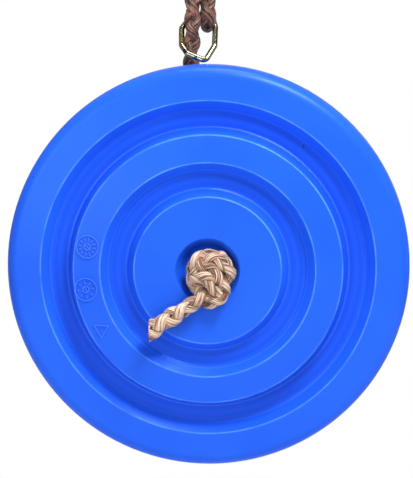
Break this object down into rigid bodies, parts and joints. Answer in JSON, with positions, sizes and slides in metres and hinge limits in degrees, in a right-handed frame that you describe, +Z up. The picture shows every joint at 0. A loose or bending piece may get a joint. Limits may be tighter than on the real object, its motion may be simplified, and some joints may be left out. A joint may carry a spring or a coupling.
{
  "type": "disc swing seat",
  "caption": "Blue hollow-moulded disc swing seat with stepped rings underneath, on a knotted braided rope with a steel adjuster link, a ring and a screw hook.",
  "frame": {"origin": "the hook's shank where it enters the underside of the beam", "axes": "+Z up out of the beam along the shank, -Y towards the side that the seat's underside faces, +X to that viewer's right"},
  "size_m": [0.28, 0.078, 0.4953],
  "materials": {
    "blue_plastic": "satin moulded polyethylene",
    "rope": "hemp-coloured braided polypropylene",
    "yellow_zinc": "yellow passivated zinc plate",
    "zinc_steel": "clear zinc plate"
  },
  "bodies": {
    "hook": {"beam_hook": "zinc_steel"},
    "ring": {"hanging_ring": "yellow_zinc"},
    "rope_loop": {"rope_top_turn": "rope", "rope_left_strand": "rope", "rope_right_strand": "rope", "rope_link_eye": "rope", "adjuster_link": "yellow_zinc"},
    "rope_drop": {"rope_drop": "rope", "rope_bend": "rope"},
    "rope_end": {"rope_in_seat": "rope", "seat_knot": "rope", "rope_tail": "rope"},
    "seat": {"seat_disc": "blue_plastic"}
  },
  "joints": [
    {"name": "swing_fore_aft", "type": "hinge", "parent": "hook", "child": "ring", "pos_m": [0, 0, -0.042], "axis": [1, 0, 0], "range_deg": [-50, 50]},
    {"name": "swing_sideways", "type": "hinge", "parent": "ring", "child": "rope_loop", "pos_m": [0, 0, -0.0697], "axis": [0, 1, 0], "range_deg": [-40, 40]},
    {"name": "rope_knee", "type": "hinge", "parent": "rope_loop", "child": "rope_drop", "pos_m": [-0.0085, 0.00345, -0.18059], "axis": [1, 0, 0], "range_deg": [-9.5, 0]},
    {"name": "seat_tilt", "type": "hinge", "parent": "rope_drop", "child": "rope_end", "pos_m": [0.0035, 0.02326, -0.31458], "axis": [1, 0, 0], "range_deg": [0, 90], "deforming": ["rope_bend"]},
    {"name": "seat_spin", "type": "hinge", "parent": "rope_end", "child": "seat", "pos_m": [0.0035, 0.0065, -0.32], "axis": [0, 0.9863, 0.165], "continuous": true}
  ],
  "couplings": [
    {"joint": "rope_knee", "follows": "seat_tilt", "ratio": -0.10556}
  ]
}
